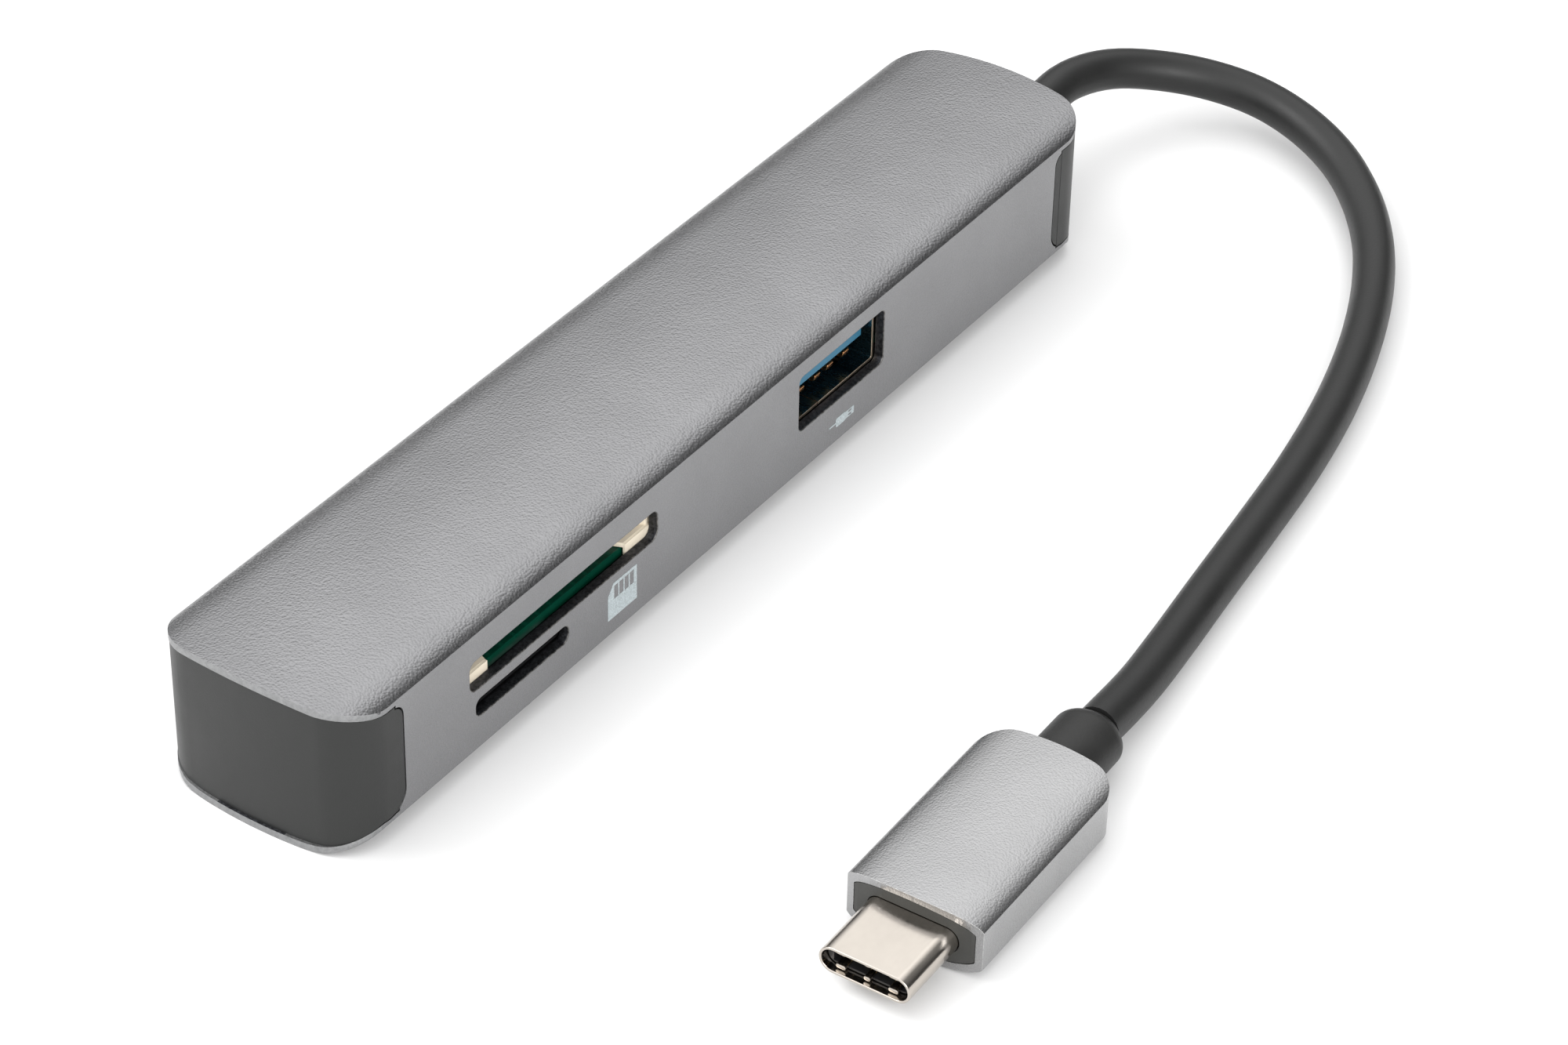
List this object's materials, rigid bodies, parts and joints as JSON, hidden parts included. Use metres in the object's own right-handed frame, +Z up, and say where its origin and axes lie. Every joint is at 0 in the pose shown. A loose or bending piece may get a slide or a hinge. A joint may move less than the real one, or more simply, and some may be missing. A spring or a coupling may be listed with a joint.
{
  "type": "usb hub",
  "caption": "Slim aluminium port hub with card slots in one long side, dark end caps, and a short fixed cable that ends in a small flat reversible plug.",
  "frame": {"origin": "on the surface it stands on, under the middle of the housing", "axes": "+X along the housing towards the end where the cable leaves, -Y towards the long side with the card slots and the front port, +Z up"},
  "size_m": [0.1386, 0.0684, 0.0154],
  "materials": {
    "blasted_aluminium": "bead-blasted, space grey anodised",
    "dark_cap_plastic": "satin, very fine grain",
    "black_rubber": "soft satin",
    "pale_aluminium": "fine bead-blasted, silver anodised",
    "dark_insert_plastic": "matte",
    "warm_nickel": "bright nickel plate",
    "stamped_steel": "plain stamped",
    "green_board": "solder mask",
    "blue_tongue_plastic": "moulded",
    "black_moulding": "moulded",
    "cream_moulding": "moulded",
    "natural_moulding": "moulded",
    "copper_alloy": "bare copper alloy",
    "gold_plate": "gold flash",
    "chip_epoxy": "matte epoxy",
    "wire_sleeve": "soft"
  },
  "bodies": {
    "hub": {"cable": "black_rubber", "cable_crimp": "stamped_steel", "cable_end_cap": "dark_cap_plastic", "capacitor_1": "copper_alloy", "capacitor_2": "copper_alloy", "card_reader_chip": "chip_epoxy", "crystal": "stamped_steel", "front_usb_shell": "stamped_steel", "front_usb_tongue": "blue_tongue_plastic", "housing_sleeve": "blasted_aluminium", "hub_controller_chip": "chip_epoxy", "hub_strain_relief": "black_rubber", "insulating_tray": "black_moulding", "main_board": "green_board", "microsd_socket_base": "black_moulding", "microsd_socket_shell": "black_moulding", "plain_end_cap": "dark_cap_plastic", "plug_board": "green_board", "plug_front_insert": "dark_insert_plastic", "plug_inner_mould": "natural_moulding", "plug_insulator": "black_moulding", "plug_shell": "warm_nickel", "plug_sleeve": "pale_aluminium", "plug_strain_relief": "black_rubber", "power_chip": "chip_epoxy", "power_inductor": "black_moulding", "rear_usb_shell": "stamped_steel", "rear_usb_tongue": "blue_tongue_plastic", "sd_socket_frame": "cream_moulding", "sd_socket_lid": "stamped_steel", "signal_wire_1": "wire_sleeve", "signal_wire_2": "wire_sleeve", "signal_wire_3": "wire_sleeve", "signal_wire_4": "wire_sleeve", "video_chip": "chip_epoxy", "video_socket_shell": "stamped_steel", "video_socket_tongue": "black_moulding"},
    "front_contact_1": {"front_usb_contact_1": "copper_alloy"},
    "front_contact_2": {"front_usb_contact_2": "copper_alloy"},
    "front_contact_3": {"front_usb_contact_3": "copper_alloy"},
    "front_contact_4": {"front_usb_contact_4": "copper_alloy"},
    "rear_contact_1": {"rear_usb_contact_1": "copper_alloy"},
    "rear_contact_2": {"rear_usb_contact_2": "copper_alloy"},
    "rear_contact_3": {"rear_usb_contact_3": "copper_alloy"},
    "rear_contact_4": {"rear_usb_contact_4": "copper_alloy"},
    "sd_contacts": {"sd_contact_comb": "copper_alloy"},
    "microsd_contacts": {"microsd_contact_comb": "gold_plate"},
    "plug_upper_contacts": {"plug_contacts_upper": "gold_plate"},
    "plug_lower_contacts": {"plug_contacts_lower": "gold_plate"}
  },
  "joints": [
    {"name": "front_contact_flex_1", "type": "hinge", "parent": "hub", "child": "front_contact_1", "pos_m": [0.0099, 0.0001, 0.00961], "axis": [-1, 0, 0], "range_deg": [0, 3.44], "stiffness_Nm_per_rad": 0.02},
    {"name": "front_contact_flex_2", "type": "hinge", "parent": "hub", "child": "front_contact_2", "pos_m": [0.0124, 0.0001, 0.00961], "axis": [-1, 0, 0], "range_deg": [0, 3.44], "stiffness_Nm_per_rad": 0.02},
    {"name": "front_contact_flex_3", "type": "hinge", "parent": "hub", "child": "front_contact_3", "pos_m": [0.0144, 0.0001, 0.00961], "axis": [-1, 0, 0], "range_deg": [0, 3.44], "stiffness_Nm_per_rad": 0.02},
    {"name": "front_contact_flex_4", "type": "hinge", "parent": "hub", "child": "front_contact_4", "pos_m": [0.0169, 0.0001, 0.00961], "axis": [-1, 0, 0], "range_deg": [0, 3.44], "stiffness_Nm_per_rad": 0.02},
    {"name": "rear_contact_flex_1", "type": "hinge", "parent": "hub", "child": "rear_contact_1", "pos_m": [0.0345, -0.0001, 0.00961], "axis": [1, 0, 0], "range_deg": [0, 3.44], "stiffness_Nm_per_rad": 0.02},
    {"name": "rear_contact_flex_2", "type": "hinge", "parent": "hub", "child": "rear_contact_2", "pos_m": [0.032, -0.0001, 0.00961], "axis": [1, 0, 0], "range_deg": [0, 3.44], "stiffness_Nm_per_rad": 0.02},
    {"name": "rear_contact_flex_3", "type": "hinge", "parent": "hub", "child": "rear_contact_3", "pos_m": [0.03, -0.0001, 0.00961], "axis": [1, 0, 0], "range_deg": [0, 3.44], "stiffness_Nm_per_rad": 0.02},
    {"name": "rear_contact_flex_4", "type": "hinge", "parent": "hub", "child": "rear_contact_4", "pos_m": [0.0275, -0.0001, 0.00961], "axis": [1, 0, 0], "range_deg": [0, 3.44], "stiffness_Nm_per_rad": 0.02},
    {"name": "sd_contacts_flex", "type": "hinge", "parent": "hub", "child": "sd_contacts", "pos_m": [-0.0273, 0.0064, 0.00925], "axis": [1, 0, 0], "range_deg": [0, 2.87], "stiffness_Nm_per_rad": 0.08},
    {"name": "microsd_contacts_flex", "type": "hinge", "parent": "hub", "child": "microsd_contacts", "pos_m": [-0.03325, 0.0026, 0.00675], "axis": [-1, 0, 0], "range_deg": [0, 2.87], "stiffness_Nm_per_rad": 0.05},
    {"name": "plug_upper_contacts_flex", "type": "hinge", "parent": "hub", "child": "plug_upper_contacts", "pos_m": [-0.038, -0.0517, 0.0036], "axis": [-0.0262, 0.9997, 0], "range_deg": [0, 1.72], "stiffness_Nm_per_rad": 0.00012},
    {"name": "plug_lower_contacts_flex", "type": "hinge", "parent": "hub", "child": "plug_lower_contacts", "pos_m": [-0.038, -0.0517, 0.0026], "axis": [0.0262, -0.9997, 0], "range_deg": [0, 1.72], "stiffness_Nm_per_rad": 0.00012}
  ],
  "couplings": [
    {"joint": "front_contact_flex_2", "follows": "front_contact_flex_1", "ratio": 1},
    {"joint": "front_contact_flex_3", "follows": "front_contact_flex_1", "ratio": 1},
    {"joint": "front_contact_flex_4", "follows": "front_contact_flex_1", "ratio": 1},
    {"joint": "rear_contact_flex_2", "follows": "rear_contact_flex_1", "ratio": 1},
    {"joint": "rear_contact_flex_3", "follows": "rear_contact_flex_1", "ratio": 1},
    {"joint": "rear_contact_flex_4", "follows": "rear_contact_flex_1", "ratio": 1},
    {"joint": "plug_lower_contacts_flex", "follows": "plug_upper_contacts_flex", "ratio": 1}
  ]
}
